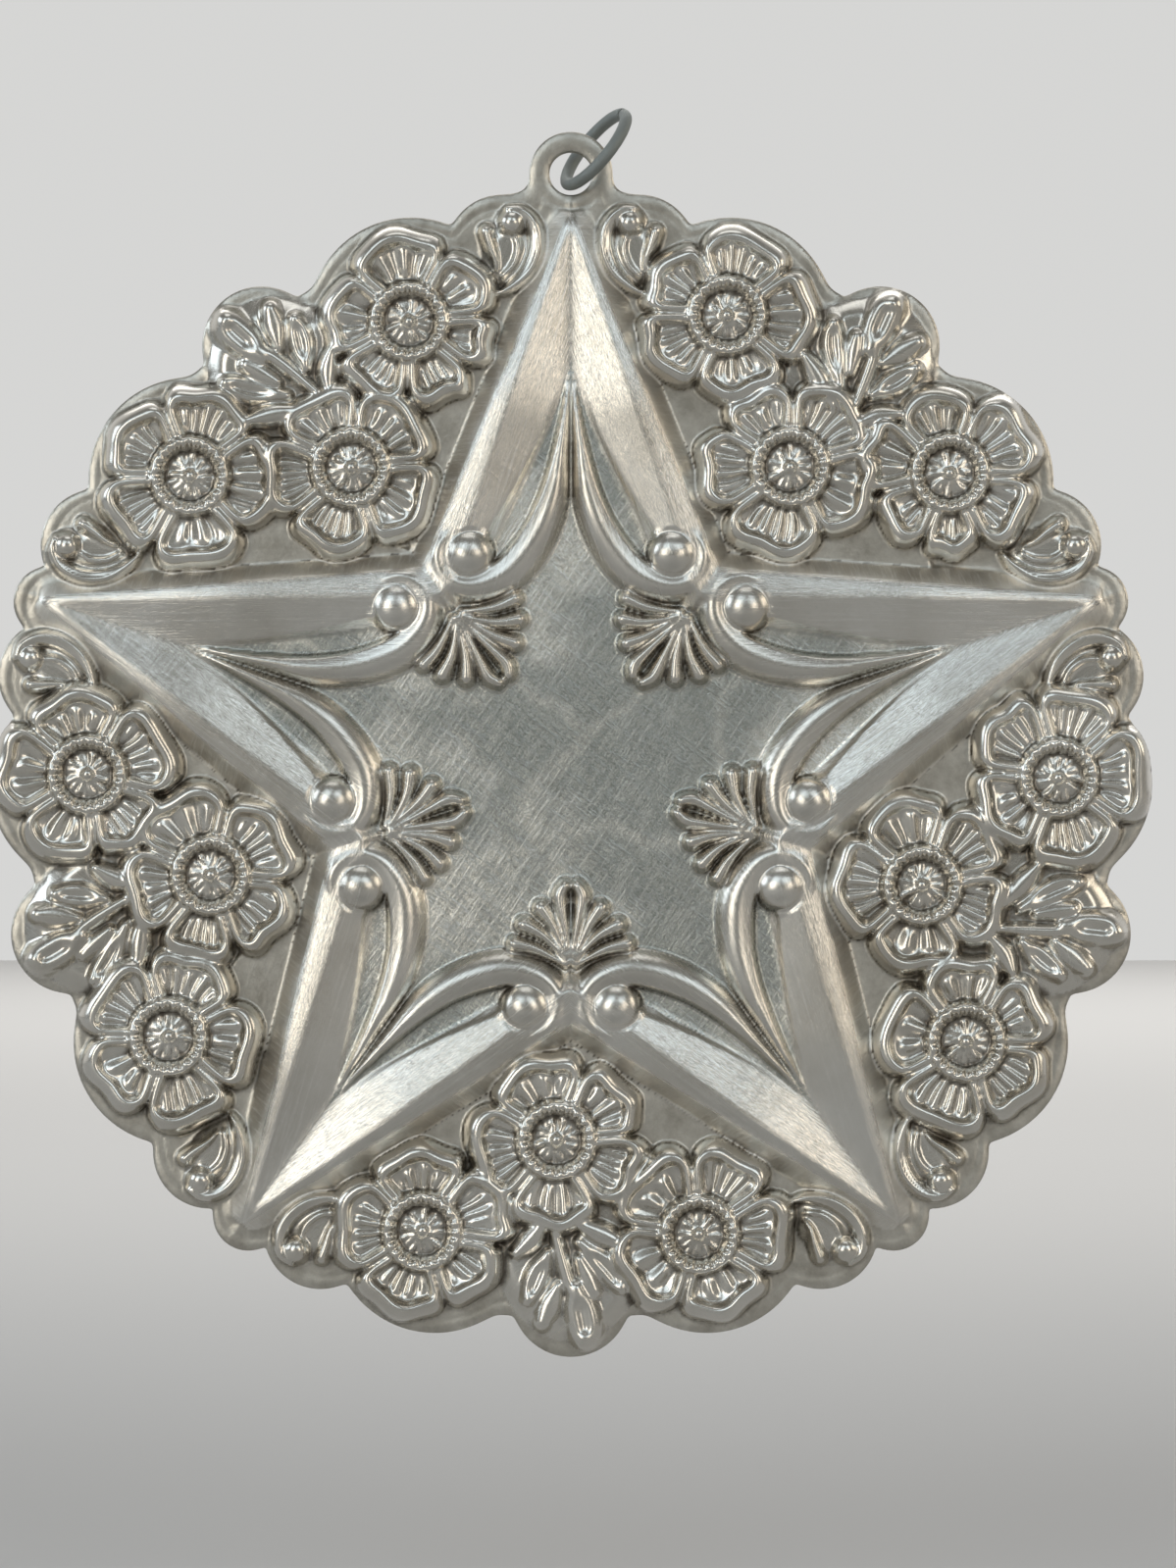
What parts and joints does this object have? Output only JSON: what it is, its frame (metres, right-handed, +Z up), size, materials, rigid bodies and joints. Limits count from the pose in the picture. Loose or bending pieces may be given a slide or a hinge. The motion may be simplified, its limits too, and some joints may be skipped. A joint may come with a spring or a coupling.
{
  "type": "star ornament",
  "caption": "Hanging silver ornament: a bevelled star with scrolls inside a scalloped border of blossoms and leaves, with a pierced lug and a jump ring.",
  "frame": {"origin": "centre of the lug's eye, midway between the two faces", "axes": "+Z up from the star to the lug, -Y out of the front face, +X to the right seen from the front"},
  "size_m": [0.0828, 0.0068, 0.089],
  "materials": {
    "struck_silver": "polished on the high parts, tarnished in the hollows",
    "silver_solder": "matt",
    "oxidised_wire": "dull oxidised grey"
  },
  "bodies": {
    "star": {"front_shell": "struck_silver", "back_shell": "struck_silver", "solder_seam": "silver_solder"},
    "ring": {"jump_ring": "oxidised_wire"}
  },
  "joints": [
    {"name": "ring_swing", "type": "hinge", "parent": "star", "child": "ring", "pos_m": [-0.00017, 0, -0.00073], "axis": [0, -1, 0], "range_deg": [-51.7, 128.3]}
  ]
}
